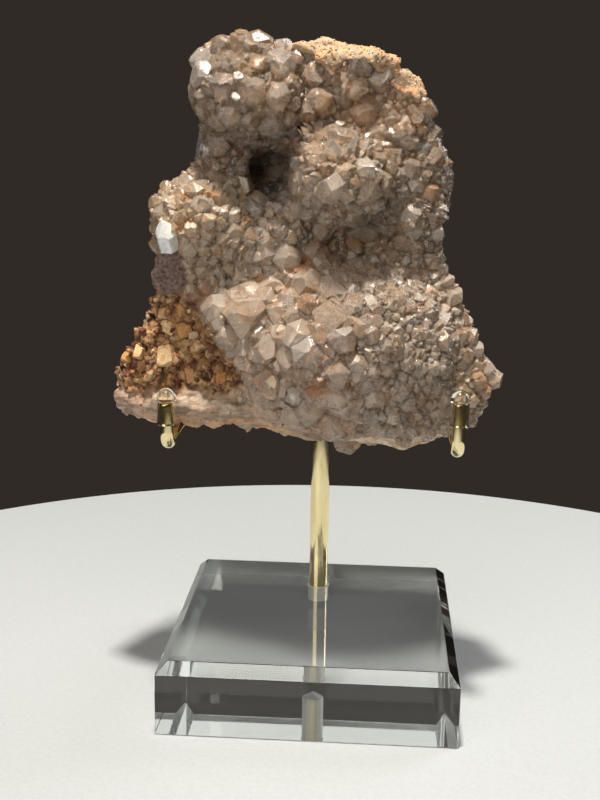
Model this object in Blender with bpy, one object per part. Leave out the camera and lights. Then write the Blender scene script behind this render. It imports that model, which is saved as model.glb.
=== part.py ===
"""Quartz druse specimen held by two bent brass arms on a clear display block.

Frame: metres, +Z up, +X to the viewer's right, +Y away from the viewer.
The origin is the centre of the block's underside.
"""

import math

import bmesh
import bpy
import numpy as np
from mathutils import Matrix, Vector, noise

MM = 0.001

# Pieces that touch keep this gap
GAP = 0.3 * MM

# How far a cutter reaches past the piece it cuts
OVERRUN = 5.0 * MM

# Clear block
BLOCK_SIDE = 88.9 * MM
BLOCK_HEIGHT = 22.2 * MM
BLOCK_BEVEL = 3.3 * MM
SOCKET_DEPTH = 14.9 * MM
DRILL_POINT_DEG = 118.0

# Post
POST_RADIUS = 3.175 * MM
POST_Y = 21.4 * MM
POST_TOP = 138.0 * MM
POST_TIP_ROUND = 1.2 * MM

# Arms: each leaves the post sideways, runs forward under the stone and rises as a finger
ROD_RADIUS = 1.985 * MM
ARM_HEIGHT = 82.4 * MM
FINGER_Y = -22.0 * MM
LEFT_REACH = 44.0 * MM
RIGHT_REACH = 42.2 * MM
LEFT_TIP = 95.4 * MM
RIGHT_TIP = 97.8 * MM
CORNER_BEND = 9.0 * MM
FINGER_BEND = 4.2 * MM
ROD_MIDDLE_GAP = 0.25 * MM

# Soft caps on the arm tips
SLEEVE_RADIUS = 2.85 * MM
LEFT_SLEEVE = (88.7 * MM, 99.8 * MM)
RIGHT_SLEEVE = (90.9 * MM, 101.5 * MM)
SLEEVE_ROOF = 1.0 * MM

# Stone: outline of its front rim as (x, z), clockwise from the upper left
STONE_OUTLINE_MM = (
    (-35.5, 199), (-32, 200.5), (-20, 200.5), (-10, 198), (2, 201), (8, 200),
    (16.5, 195.5), (22.5, 192), (27, 188), (30, 183), (33, 178), (36, 170),
    (37.5, 164), (37, 154), (37.5, 138), (39.5, 133), (43, 128), (45.5, 121),
    (49, 115.5), (51, 110.5), (54, 106), (55.5, 101.5), (54.5, 96.5), (50.5, 93.5),
    (50, 88.5), (45.5, 87), (38, 85), (31.5, 82.5), (21, 80), (12, 79.5), (0, 80.5),
    (-8, 81.5), (-19, 83.5), (-31, 84.5), (-43, 85), (-54.5, 85), (-60.5, 86.5),
    (-64, 91), (-65.5, 97), (-64, 103), (-58.5, 112), (-55, 120), (-52, 126), (-51.5, 133),
    (-50.5, 142), (-51, 150), (-49.5, 160), (-44, 157.5), (-39.5, 160), (-38, 171),
    (-38.5, 182), (-40, 192), (-38.5, 197),
)
SLAB_FRONT = -7.5 * MM
SLAB_BACK = 12.0 * MM
# The front ring is drawn a little large, because rounding the rim takes some of it off
SLAB_FRONT_SCALE = 1.015
SLAB_BACK_SCALE = 0.86
# The back leans forward above this height
BACK_LEAN_FROM = 125.0 * MM
BACK_LEAN = 0.07

# Rounded lobes of the druse and swells of the matrix: centre and radii, x, y, z
LOBES_MM = {
    "upper left cluster": ((-20.5, -7.0, 183.5), (18.0, 16.0, 14.5)),
    "upper rim": ((8.0, -4.0, 193.5), (13.0, 8.5, 4.5)),
    "upper right shoulder": ((25.0, -2.0, 178.0), (7.5, 11.0, 12.0)),
    "central cluster": ((6.5, -12.0, 161.0), (15.5, 15.5, 15.0)),
    "right column": ((28.0, -2.0, 156.0), (10.0, 12.0, 24.0)),
    "left cluster": ((-35.0, -5.0, 147.0), (16.0, 15.5, 14.5)),
    "saddle": ((-16.0, -4.0, 142.0), (16.0, 13.0, 11.0)),
    "big cluster": ((6.0, -6.0, 110.0), (38.0, 25.0, 28.5)),
    "left part of it": ((-22.0, -8.0, 116.5), (16.0, 17.0, 15.0)),
    "right part of it": ((33.0, -2.0, 107.0), (17.0, 13.5, 20.0)),
    "lower right": ((38.0, -2.0, 98.0), (16.0, 12.0, 11.0)),
    "raw matrix": ((-46.0, -2.0, 101.0), (16.0, 13.0, 16.0)),
    "lower band": ((-34.0, -5.0, 92.5), (29.0, 12.5, 7.5)),
    "lower right band": ((20.0, -5.0, 91.0), (28.0, 13.0, 9.5)),
    "lower back": ((-3.0, 5.0, 112.0), (46.0, 12.0, 32.0)),
    "upper back": ((-4.0, 1.0, 165.0), (30.0, 11.5, 31.0)),
}

# Hollows between the lobes: centre and radii, x, y, z
HOLLOWS_MM = {
    "deep pocket": ((-14.5, -10.0, 162.0), (6.5, 14.0, 8.0)),
    "recess under the upper rim": ((15.5, -15.0, 180.5), (12.0, 12.0, 9.5)),
    "undercut below the central cluster": ((15.0, -18.0, 138.5), (19.0, 13.0, 5.0)),
}

STONE_VOXEL = 1.5 * MM
SMOOTHING_ROUNDS = 3
SMOOTHING_STRENGTH = 0.5
STONE_TRIANGLES = 6200

# Crystal points: their spacing, their height, and how far each spreads, in spacings
CRYSTAL_SPACING = 7.5 * MM
CRYSTAL_RELIEF = 2.0 * MM
CRYSTAL_SPREAD = 0.75
# The share of a point's height at which the drawn surface lies
CRYSTAL_MIDDLE = 0.4
# Points cover what faces the viewer and fade out round the rim, where the normal's y passes this
CRYSTAL_EDGE = 0.5

# Broken rock of the back and the rim: long swells and rough steps
SWELL_RELIEF = 3.0 * MM
SWELL_WAVE = 30.0 * MM
ROUGH_RELIEF = 1.4 * MM
ROUGH_WAVE = 9.0 * MM
ROUGH_ROUGHNESS = 0.8
ROUGH_STEP = 2.1
ROUGH_LEVELS = 3
# The share of that relief left under the crystals
MATRIX_UNDER_CRYSTALS = 0.3
RELIEF_SEED = Vector((3.1, 7.7, 1.9))

# The room cut for the post starts here, below the stone
POST_ROOM_BOTTOM = 60.0 * MM

# Round pieces: sides round each
POST_SIDES = 32
ROD_SIDES = 14
SLEEVE_SIDES = 24
BEND_STEPS = 6
DOME_STEPS = 6
TIP_STEPS = 4
LOBE_SUBDIVISIONS = 3


def clear_scene():
    for obj in list(bpy.data.objects):
        bpy.data.objects.remove(obj, do_unlink=True)


def make_material(name, colour, roughness, metallic=0.0, transmission=0.0, ior=1.5):
    material = bpy.data.materials.new(name)
    material.use_nodes = True
    shader = material.node_tree.nodes["Principled BSDF"]
    shader.inputs["Base Color"].default_value = (*colour, 1.0)
    shader.inputs["Roughness"].default_value = roughness
    shader.inputs["Metallic"].default_value = metallic
    shader.inputs["Transmission Weight"].default_value = transmission
    shader.inputs["IOR"].default_value = ior
    return material


def quartz_material():
    return make_material("quartz_druse", (0.48, 0.38, 0.32), 0.35)


def acrylic_material():
    return make_material("clear_acrylic", (0.93, 0.95, 0.94), 0.03, 0.0, 1.0, 1.49)


def brass_material():
    return make_material("polished_brass", (0.85, 0.68, 0.36), 0.12, 1.0)


def sleeve_material():
    return make_material("clear_soft_cap", (0.90, 0.88, 0.78), 0.12, 0.0, 0.9, 1.45)


def object_from(bm, name, material=None):
    bmesh.ops.recalc_face_normals(bm, faces=bm.faces)
    mesh = bpy.data.meshes.new(name)
    bm.to_mesh(mesh)
    bm.free()
    obj = bpy.data.objects.new(name, mesh)
    bpy.context.scene.collection.objects.link(obj)
    if material is not None:
        mesh.materials.append(material)
    return obj


def shade_round(obj, sharp_deg=35.0):
    obj.data.shade_smooth()
    obj.data.set_sharp_from_angle(angle=math.radians(sharp_deg))


def make_guide(obj):
    """A cutter: it shapes its neighbour and is no piece of its own."""
    obj.hide_render = True
    obj.display_type = "WIRE"
    return obj


def cut(obj, cutter):
    modifier = obj.modifiers.new("cut_" + cutter.name, "BOOLEAN")
    modifier.operation = "DIFFERENCE"
    modifier.object = cutter


def turned(name, profile, sides, material=None):
    """A closed turned solid about Z. The profile is (radius, z) from the top of the axis to its bottom."""
    bm = bmesh.new()
    rings = []
    for radius, z in profile:
        if radius == 0.0:
            rings.append([bm.verts.new((0.0, 0.0, z))])
            continue
        steps = [2 * math.pi * i / sides for i in range(sides)]
        rings.append([bm.verts.new((radius * math.cos(a), radius * math.sin(a), z)) for a in steps])
    for upper, lower in zip(rings, rings[1:]):
        for i in range(sides):
            corners = [upper[i % len(upper)], upper[(i + 1) % len(upper)]]
            corners += [lower[(i + 1) % len(lower)], lower[i % len(lower)]]
            bm.faces.new(list(dict.fromkeys(corners)))
    return object_from(bm, name, material)


def arc(centre, radius, start_deg, end_deg, steps):
    """Points (radius, z) of an arc in a turned profile."""
    angles = [math.radians(start_deg + (end_deg - start_deg) * i / steps) for i in range(steps + 1)]
    return [(centre[0] + radius * math.cos(a), centre[1] + radius * math.sin(a)) for a in angles]


def make_block():
    """The block with a 45 degree bevel round its top edge and a drilled socket for the post."""
    half = BLOCK_SIDE / 2
    levels = ((half, 0.0), (half, BLOCK_HEIGHT - BLOCK_BEVEL), (half - BLOCK_BEVEL, BLOCK_HEIGHT))
    bm = bmesh.new()
    rings = []
    for reach, z in levels:
        corners = ((-reach, -reach), (reach, -reach), (reach, reach), (-reach, reach))
        rings.append([bm.verts.new((x, y, z)) for x, y in corners])
    for lower, upper in zip(rings, rings[1:]):
        for i in range(4):
            bm.faces.new((lower[i], lower[(i + 1) % 4], upper[(i + 1) % 4], upper[i]))
    bm.faces.new(rings[0])
    bm.faces.new(rings[-1])
    block = object_from(bm, "acrylic_base", acrylic_material())
    cut(block, make_socket_cutter())
    return block


def make_socket_cutter():
    radius = POST_RADIUS + GAP
    floor = BLOCK_HEIGHT - SOCKET_DEPTH
    point = radius / math.tan(math.radians(DRILL_POINT_DEG / 2))
    above = BLOCK_HEIGHT + OVERRUN
    profile = [(0.0, above), (radius, above), (radius, floor), (0.0, floor - point)]
    cutter = turned("socket_cutter", profile, POST_SIDES)
    cutter.location.y = POST_Y
    return make_guide(cutter)


def make_post(material):
    """The post, cross-drilled where the arms enter it."""
    foot = BLOCK_HEIGHT - SOCKET_DEPTH + GAP
    tip_centre = (POST_RADIUS - POST_TIP_ROUND, POST_TOP - POST_TIP_ROUND)
    tip = arc(tip_centre, POST_TIP_ROUND, 90, 0, TIP_STEPS)
    profile = [(0.0, POST_TOP)] + tip + [(POST_RADIUS, foot), (0.0, foot)]
    post = turned("post", profile, POST_SIDES, material)
    post.location.y = POST_Y
    shade_round(post)
    reach = POST_RADIUS + OVERRUN
    drill = turned("cross_drill", cylinder_profile(ROD_RADIUS + GAP, -reach, reach), POST_SIDES)
    drill.rotation_euler.y = math.pi / 2
    drill.location = (0.0, POST_Y, ARM_HEIGHT)
    cut(post, make_guide(drill))
    return post


def cylinder_profile(radius, bottom, top):
    return [(0.0, top), (radius, top), (radius, bottom), (0.0, bottom)]


def bend(corner, before, after, radius):
    """Points of the bend at a corner between the straight runs from one point and to the next."""
    inward = (before - corner).normalized()
    outward = (after - corner).normalized()
    centre = corner + radius * (inward + outward)
    points = []
    for i in range(BEND_STEPS + 1):
        angle = math.pi / 2 * i / BEND_STEPS
        points.append(centre - radius * (math.sin(angle) * inward + math.cos(angle) * outward))
    return points


def arm_path(x, tip):
    """Centre line of the arm whose finger stands at this x, from inside the post to the finger's tip."""
    start = Vector((math.copysign(ROD_MIDDLE_GAP, x), POST_Y, ARM_HEIGHT))
    behind = Vector((x, POST_Y, ARM_HEIGHT))
    front = Vector((x, FINGER_Y, ARM_HEIGHT))
    end = Vector((x, FINGER_Y, tip))
    corner = bend(behind, start, front, CORNER_BEND)
    finger = bend(front, behind, end, FINGER_BEND)
    return [start] + corner + finger + [end]


def make_rod(name, path, radius, sides, material=None):
    """A round rod along a path of straight runs and bends, with flat ends."""
    bm = bmesh.new()
    directions = [(b - a).normalized() for a, b in zip(path, path[1:])]
    frame_x = Vector((0.0, 0.0, 1.0))
    rings = []
    for i, point in enumerate(path):
        along = directions[max(i - 1, 0)] + directions[min(i, len(directions) - 1)]
        along.normalize()
        frame_x = (frame_x - frame_x.dot(along) * along).normalized()
        frame_y = along.cross(frame_x)
        ring = []
        for j in range(sides):
            angle = 2 * math.pi * j / sides
            outward = math.cos(angle) * frame_x + math.sin(angle) * frame_y
            ring.append(bm.verts.new(point + radius * outward))
        rings.append(ring)
    for near, far in zip(rings, rings[1:]):
        for j in range(sides):
            bm.faces.new((near[j], near[(j + 1) % sides], far[(j + 1) % sides], far[j]))
    bm.faces.new(rings[0])
    bm.faces.new(rings[-1])
    obj = object_from(bm, name, material)
    shade_round(obj)
    return obj


def make_sleeve(name, x, tip, span):
    """A soft cap with a domed closed end, open below, where the finger goes in."""
    bottom, top = span
    inner = ROD_RADIUS + GAP
    roof = max(tip + GAP, top - SLEEVE_RADIUS - SLEEVE_ROOF)
    dome = arc((0.0, top - SLEEVE_RADIUS), SLEEVE_RADIUS, 90, 0, DOME_STEPS)[1:]
    profile = [(0.0, top)] + dome + [(SLEEVE_RADIUS, bottom), (inner, bottom), (inner, roof), (0.0, roof)]
    sleeve = turned(name, profile, SLEEVE_SIDES, sleeve_material())
    sleeve.location = (x, FINGER_Y, 0.0)
    shade_round(sleeve)
    return sleeve


def add_ellipsoid(bm, centre_mm, radii_mm):
    scale = Matrix.Diagonal((*[r * MM for r in radii_mm], 1.0))
    place = Matrix.Translation(Vector(centre_mm) * MM)
    bmesh.ops.create_icosphere(bm, subdivisions=LOBE_SUBDIVISIONS, radius=1.0, matrix=place @ scale)


def add_slab(bm):
    """The outline drawn at the slab's front, and again a little smaller at its back."""
    points = np.array(STONE_OUTLINE_MM) * MM
    middle = points.mean(axis=0)
    front = middle + (points - middle) * SLAB_FRONT_SCALE
    back = middle + (points - middle) * SLAB_BACK_SCALE
    front_ring = [bm.verts.new((x, SLAB_FRONT, z)) for x, z in front]
    back_ring = [bm.verts.new((x, SLAB_BACK, z)) for x, z in back]
    count = len(points)
    for i in range(count):
        j = (i + 1) % count
        bm.faces.new((front_ring[i], front_ring[j], back_ring[j], back_ring[i]))
    bm.faces.new(front_ring)
    bm.faces.new(back_ring)


def crystal_relief(point):
    """Height of the nearest crystal's point, 0 between crystals and 1 at a tip."""
    distances, _ = noise.voronoi((point + RELIEF_SEED) / CRYSTAL_SPACING)
    return max(0.0, 1.0 - distances[0] / CRYSTAL_SPREAD)


def matrix_relief(point):
    """Broken rock: long swells with rough steps on them."""
    swell = noise.noise((point + RELIEF_SEED) / SWELL_WAVE)
    place = (point + RELIEF_SEED) / ROUGH_WAVE
    rough = noise.fractal(place, ROUGH_ROUGHNESS, ROUGH_STEP, ROUGH_LEVELS)
    return SWELL_RELIEF * swell + ROUGH_RELIEF * rough


def roughen_stone(mesh):
    """Moves each point along its normal: crystal points in front, broken rock behind."""
    starts = [vertex.co.copy() for vertex in mesh.vertices]
    normals = [vertex.normal.copy() for vertex in mesh.vertices]
    for vertex, start, normal in zip(mesh.vertices, starts, normals):
        front = min(1.0, max(0.0, CRYSTAL_EDGE - normal.y))
        height = front * CRYSTAL_RELIEF * (crystal_relief(start) - CRYSTAL_MIDDLE)
        height += (1.0 - front + MATRIX_UNDER_CRYSTALS * front) * matrix_relief(start)
        moved = start + height * normal
        moved.y -= max(0.0, start.z - BACK_LEAN_FROM) * BACK_LEAN * max(0.0, normal.y)
        vertex.co = moved


def apply_modifiers(obj):
    bpy.context.view_layer.update()
    graph = bpy.context.evaluated_depsgraph_get()
    made = bpy.data.meshes.new_from_object(obj.evaluated_get(graph), depsgraph=graph)
    old = obj.data
    obj.modifiers.clear()
    obj.data = made
    bpy.data.meshes.remove(old)


def join_and_round(obj):
    """Makes one closed skin of overlapping shapes and rounds its edges."""
    voxels = obj.modifiers.new("join_lobes", "REMESH")
    voxels.mode = "VOXEL"
    voxels.voxel_size = STONE_VOXEL
    smooth = obj.modifiers.new("round_edges", "SMOOTH")
    smooth.factor = SMOOTHING_STRENGTH
    smooth.iterations = SMOOTHING_ROUNDS
    apply_modifiers(obj)


def make_stone_body():
    bm = bmesh.new()
    add_slab(bm)
    for centre, radii in LOBES_MM.values():
        add_ellipsoid(bm, centre, radii)
    body = object_from(bm, "specimen")
    join_and_round(body)
    for name, (centre, radii) in HOLLOWS_MM.items():
        bm = bmesh.new()
        add_ellipsoid(bm, centre, radii)
        cut(body, make_guide(object_from(bm, name.replace(" ", "_"))))
    join_and_round(body)
    return body


def thin_out(obj, triangles):
    """Keeps about this many triangles of a mesh of four-sided faces."""
    decimate = obj.modifiers.new("thin_out", "DECIMATE")
    decimate.use_collapse_triangulate = True
    decimate.ratio = triangles / (2 * len(obj.data.polygons))
    apply_modifiers(obj)


def upright_room(name, span, radius, place):
    """A cutter for one upright of the holder, from the span's bottom to its top."""
    room = turned(name, cylinder_profile(radius, span[0], span[1]), POST_SIDES)
    room.location = (*place, 0.0)
    return make_guide(room)


def run_room(name, x):
    """A cutter for the straight run of an arm under the stone."""
    path = [Vector((x, FINGER_Y - OVERRUN, ARM_HEIGHT)), Vector((x, POST_Y + OVERRUN, ARM_HEIGHT))]
    return make_guide(make_rod(name, path, ROD_RADIUS + GAP, POST_SIDES))


def clear_holder(stone):
    post_span = (POST_ROOM_BOTTOM, POST_TOP + GAP)
    cut(stone, upright_room("room_for_post", post_span, POST_RADIUS + GAP, (0.0, POST_Y)))
    for name, x, sleeve in (("left", -LEFT_REACH, LEFT_SLEEVE), ("right", RIGHT_REACH, RIGHT_SLEEVE)):
        finger_span = (ARM_HEIGHT, sleeve[1] + GAP)
        finger = upright_room(f"room_for_{name}_finger", finger_span, SLEEVE_RADIUS + GAP, (x, FINGER_Y))
        cut(stone, finger)
        cut(stone, run_room(f"room_for_{name}_run", x))


def make_stone():
    """The stone: slab and lobes joined, hollows taken out, roughened, and cleared of the holder."""
    stone = make_stone_body()
    roughen_stone(stone.data)
    thin_out(stone, STONE_TRIANGLES)
    clear_holder(stone)
    stone.data.materials.append(quartz_material())
    return stone


def main():
    clear_scene()
    make_block()
    brass = brass_material()
    make_post(brass)
    make_rod("left_arm", arm_path(-LEFT_REACH, LEFT_TIP), ROD_RADIUS, ROD_SIDES, brass)
    make_rod("right_arm", arm_path(RIGHT_REACH, RIGHT_TIP), ROD_RADIUS, ROD_SIDES, brass)
    make_sleeve("left_sleeve", -LEFT_REACH, LEFT_TIP, LEFT_SLEEVE)
    make_sleeve("right_sleeve", RIGHT_REACH, RIGHT_TIP, RIGHT_SLEEVE)
    make_stone()


main()
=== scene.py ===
"""Looks of a quartz druse specimen held by two bent brass arms on a clear block.

Metres, +Z up. The origin is the centre of the block's underside, and -Y faces the viewer.
"""

import math

import bmesh
import bpy
import numpy as np
from mathutils import Matrix, Vector, noise
from mathutils.bvhtree import BVHTree


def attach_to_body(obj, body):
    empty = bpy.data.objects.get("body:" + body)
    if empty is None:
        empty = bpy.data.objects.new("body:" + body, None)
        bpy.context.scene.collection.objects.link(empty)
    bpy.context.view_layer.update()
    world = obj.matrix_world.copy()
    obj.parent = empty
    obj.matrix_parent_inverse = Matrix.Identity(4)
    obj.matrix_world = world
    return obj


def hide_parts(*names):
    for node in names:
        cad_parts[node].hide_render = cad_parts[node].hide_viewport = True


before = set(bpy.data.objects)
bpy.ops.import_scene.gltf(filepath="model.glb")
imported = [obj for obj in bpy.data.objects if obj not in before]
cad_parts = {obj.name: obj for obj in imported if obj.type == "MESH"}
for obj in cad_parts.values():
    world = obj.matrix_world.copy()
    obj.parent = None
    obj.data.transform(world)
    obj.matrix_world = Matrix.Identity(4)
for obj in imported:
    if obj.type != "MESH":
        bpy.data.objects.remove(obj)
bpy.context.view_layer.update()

MM = 0.001
SEED = 21

# Camera, solved from the block's corners in the photograph
PHOTO_WIDTH = 600
PHOTO_HEIGHT = 800
FOCAL_PX = 1136.8
CAMERA_AT = Vector((16.46, -345.43, 172.64)) * MM
CAMERA_YAW = -3.691
CAMERA_PITCH = 13.095
CAMERA_ROLL = 0.812
SENSOR_SIDE = 36.0

# The holder's sizes, as in the part
BLOCK_SIDE = 88.9 * MM
BLOCK_HEIGHT = 22.2 * MM
BLOCK_BEVEL = 3.3 * MM
SOCKET_DEPTH = 14.9 * MM
SOCKET_RADIUS = 3.475 * MM
POST_RADIUS = 3.175 * MM
POST_Y = 21.4 * MM
POST_TOP = 138.0 * MM
ROD_RADIUS = 1.985 * MM
ARM_HEIGHT = 82.4 * MM
FINGER_Y = -22.0 * MM
ARMS = {
    "left": {"x": -44.0 * MM, "tip": 95.4 * MM, "sleeve": (88.7 * MM, 99.8 * MM)},
    "right": {"x": 42.2 * MM, "tip": 97.8 * MM, "sleeve": (90.9 * MM, 101.5 * MM)},
}
CORNER_BEND = 9.0 * MM
FINGER_BEND = 4.2 * MM
SLEEVE_RADIUS = 2.85 * MM

# Body colours of the quartz
TINTS = {
    "glassy_beige": (0.49, 0.345, 0.212),
    "honey": (0.76, 0.55, 0.37),
    "silver": (0.76, 0.66, 0.55),
    # The next three tints are darkened as painted shade, for the pocket, the cave and the ground under the upper left
    "smoky": (0.30, 0.18, 0.12),
    "dark": (0.09, 0.045, 0.028),
    "painted_shade_brown": (0.44, 0.28, 0.17),
    "umber": (0.38, 0.272, 0.176),
    "cream": (0.70, 0.575, 0.445),
    "golden": (0.86, 0.69, 0.46),
    "rosy": (0.79, 0.632, 0.502),
    "grey": (0.59, 0.48, 0.385),
}

# Regions of the druse as the photograph shows them, in its pixels: centre, radii, then the
# crystals' width in mm, their reach above the rock in widths, their tint and how stained they are
REGIONS = {
    "upper_left": ((249, 85), (62, 60), 8.4, 0.42, "glassy_beige", 0.45),
    "left_edge": ((205, 75), (22, 45), 8.6, 0.44, "silver", 0.15),
    "recess": ((368, 92), (44, 34), 7.6, 0.40, "honey", 0.45),
    # The tints of the next three regions are painted shade for the hollows under the upper left, the pocket and the
    # cave
    "under_upper_left": ((265, 135), (70, 26), 7.0, 0.40, "painted_shade_brown", 0.60),
    "pocket": ((225, 160), (48, 30), 5.4, 0.38, "smoky", 0.20),
    "cave": ((272, 178), (16, 20), 4.8, 0.36, "dark", 0.30),
    "centre": ((341, 177), (50, 46), 6.4, 0.52, "cream", 0.50),
    "right_column": ((425, 180), (32, 95), 6.2, 0.38, "umber", 0.50),
    "left": ((198, 212), (50, 46), 5.4, 0.48, "golden", 0.80),
    "saddle": ((268, 238), (46, 34), 5.6, 0.44, "silver", 0.45),
    "dome_left": ((236, 328), (48, 48), 8.4, 0.40, "rosy", 0.35),
    "dome_middle": ((312, 330), (52, 85), 7.8, 0.40, "rosy", 0.75),
    "dome_right": ((395, 345), (60, 85), 4.8, 0.40, "grey", 0.35),
    "right_edge": ((455, 280), (22, 50), 6.6, 0.44, "silver", 0.35),
    "right_tip": ((488, 375), (30, 40), 5.4, 0.44, "golden", 0.55),
}

# Bare places, as outlines in the photograph's pixels
RAW_ROCK = (
    (140, 285), (152, 292), (165, 298), (182, 296), (196, 306), (208, 330), (222, 356), (238, 374),
    (243, 386), (228, 393), (206, 391), (187, 388), (160, 391), (136, 397), (118, 386),
    (108, 372), (114, 350), (130, 315),
)
LUMP = (
    (146, 256), (160, 256), (178, 251), (184, 262), (185, 284), (180, 297), (162, 299), (150, 290),
    (144, 278),
)
BAND = (
    (100, 384), (118, 387), (136, 398), (160, 392), (187, 389), (212, 394), (243, 404),
    (275, 417), (308, 427), (322, 434), (326, 450), (300, 450), (250, 440), (200, 434),
    (150, 434), (110, 430), (98, 400),
)
DEEP_PLACES = (
    ((236, 150), (290, 150), (294, 202), (262, 207), (236, 192)),
    ((300, 222), (440, 218), (452, 262), (380, 264), (320, 252), (296, 240)),
)
CAVE = ((250, 156), (290, 155), (293, 200), (266, 206), (247, 186))
LOWER_EDGE = (
    (120, 419), (160, 421), (190, 423), (230, 428), (262, 432), (306, 441), (306, 452), (250, 446),
    (200, 438), (120, 436),
)
RECESS = ((302, 52), (345, 64), (380, 84), (404, 104), (400, 132), (372, 128), (340, 112), (304, 120))
RIM_NOTCH = ((392, 52), (412, 52), (424, 72), (424, 84), (404, 80), (392, 66))
RIM = (
    (288, 24), (290, 48), (300, 50), (309, 54), (320, 66), (333, 68), (346, 62), (359, 61),
    (370, 68), (382, 78), (393, 90), (403, 98), (415, 99), (430, 94), (450, 88),
    (430, 50), (380, 24), (330, 14),
)


# ---------------------------------------------------------------- camera and light


def camera_axes():
    yaw, pitch, roll = (math.radians(a) for a in (CAMERA_YAW, CAMERA_PITCH, CAMERA_ROLL))
    forward = Vector((math.sin(yaw) * math.cos(pitch), math.cos(yaw) * math.cos(pitch), -math.sin(pitch)))
    level = Vector((math.cos(yaw), -math.sin(yaw), 0.0))
    upright = level.cross(forward)
    right = math.cos(roll) * level + math.sin(roll) * upright
    up = math.cos(roll) * upright - math.sin(roll) * level
    return right, up, forward


def photo_place(points):
    """Where the camera sees points, in the photograph's pixels, as an array of (x, y)."""
    right, up, forward = (np.array(a) for a in camera_axes())
    away = np.asarray(points) - np.array(CAMERA_AT)
    depth = away @ forward
    x = PHOTO_WIDTH / 2 + FOCAL_PX * (away @ right) / depth
    y = PHOTO_HEIGHT / 2 - FOCAL_PX * (away @ up) / depth
    return np.stack((x, y), axis=-1)


def photo_ray(x, y):
    right, up, forward = camera_axes()
    return (forward * FOCAL_PX + right * (x - PHOTO_WIDTH / 2) - up * (y - PHOTO_HEIGHT / 2)).normalized()


def add_camera():
    data = bpy.data.cameras.new("camera")
    data.sensor_fit = "VERTICAL"
    data.sensor_height = SENSOR_SIDE
    data.lens = FOCAL_PX / PHOTO_HEIGHT * SENSOR_SIDE
    data.clip_start = 0.01
    camera = bpy.data.objects.new("camera", data)
    right, up, forward = camera_axes()
    turn = Matrix((right, up, -forward)).transposed()
    camera.matrix_world = Matrix.Translation(CAMERA_AT) @ turn.to_4x4()
    bpy.context.scene.collection.objects.link(camera)
    bpy.context.scene.camera = camera


def add_area(name, place, target, size, power, colour=(1.0, 1.0, 1.0)):
    data = bpy.data.lights.new(name, "AREA")
    data.shape = "RECTANGLE"
    data.size, data.size_y = size
    data.energy = power
    data.color = colour
    light = bpy.data.objects.new(name, data)
    light.location = place
    light.rotation_euler = (Vector(target) - Vector(place)).to_track_quat("-Z", "Y").to_euler()
    bpy.context.scene.collection.objects.link(light)


def add_light():
    add_area("key", (-0.02, -0.14, 0.88), (0.0, 0.0, 0.10), (0.07, 0.07), 11.0, (1.0, 0.93, 0.83))
    add_area("soft_front", (0.0, -1.05, 1.35), (0.0, 0.0, 0.12), (1.5, 1.1), 9.8, (1.0, 0.93, 0.84))
    add_area("fill_left", (-0.60, -0.95, 0.32), (0.0, 0.0, 0.12), (0.9, 0.7), 5.0, (1.0, 0.95, 0.88))
    add_area("rim_right", (0.75, 0.45, 0.55), (0.0, 0.0, 0.14), (0.35, 0.5), 4.0)
    world = bpy.data.worlds.new("studio")
    world.use_nodes = True
    back = world.node_tree.nodes["Background"]
    back.inputs["Color"].default_value = (0.030, 0.024, 0.020, 1.0)
    back.inputs["Strength"].default_value = 1.0
    bpy.context.scene.world = world
    scene = bpy.context.scene
    scene.view_settings.view_transform = "Standard"
    scene.cycles.max_bounces = 24
    scene.cycles.transmission_bounces = 20
    scene.cycles.glossy_bounces = 6
    scene.cycles.diffuse_bounces = 3
    scene.cycles.use_denoising = True


def add_floor():
    bm = bmesh.new()
    bmesh.ops.create_circle(bm, cap_ends=True, segments=192, radius=0.261)
    floor = link_mesh("floor", bm)
    floor.location = (0.0057, -0.054, -0.0002)
    floor.data.materials.append(floor_material())


# ---------------------------------------------------------------- meshes


def link_mesh(name, bm):
    mesh = bpy.data.meshes.new(name)
    bm.to_mesh(mesh)
    bm.free()
    return link_data(name, mesh)


def link_data(name, mesh):
    obj = bpy.data.objects.new(name, mesh)
    bpy.context.scene.collection.objects.link(obj)
    return obj


def evaluated_mesh(obj):
    bpy.context.view_layer.update()
    graph = bpy.context.evaluated_depsgraph_get()
    return bpy.data.meshes.new_from_object(obj.evaluated_get(graph), depsgraph=graph)


def replace_mesh(obj, mesh):
    old = obj.data
    obj.modifiers.clear()
    obj.data = mesh
    bpy.data.meshes.remove(old)


def mesh_points(mesh):
    points = np.empty(len(mesh.vertices) * 3, np.float32)
    mesh.vertices.foreach_get("co", points)
    return points.reshape(-1, 3).astype(float)


def mesh_normals(mesh):
    normals = np.empty(len(mesh.vertices) * 3, np.float32)
    mesh.vertex_normals.foreach_get("vector", normals)
    return normals.reshape(-1, 3).astype(float)


def set_points(mesh, points):
    mesh.vertices.foreach_set("co", points.astype(np.float32).ravel())
    mesh.update()


def add_number(mesh, name, values):
    layer = mesh.attributes.new(name, "FLOAT", "POINT")
    layer.data.foreach_set("value", np.asarray(values, np.float32))


def add_vector(mesh, name, values):
    layer = mesh.attributes.new(name, "FLOAT_VECTOR", "POINT")
    layer.data.foreach_set("vector", np.asarray(values, np.float32).ravel())


def add_colour(mesh, name, values):
    layer = mesh.attributes.new(name, "FLOAT_COLOR", "POINT")
    full = np.concatenate((values, np.ones((len(values), 1))), axis=1)
    layer.data.foreach_set("color", full.astype(np.float32).ravel())


def smooth_step(low, high, values):
    t = np.clip((values - low) / (high - low), 0.0, 1.0)
    return t * t * (3.0 - 2.0 * t)


def inside_outline(outline, places, softness):
    """1 inside a closed outline, 0 outside, and a soft step across its edge."""
    return np.clip(depth_in_outline(outline, places) / softness + 0.5, 0.0, 1.0)


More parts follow.
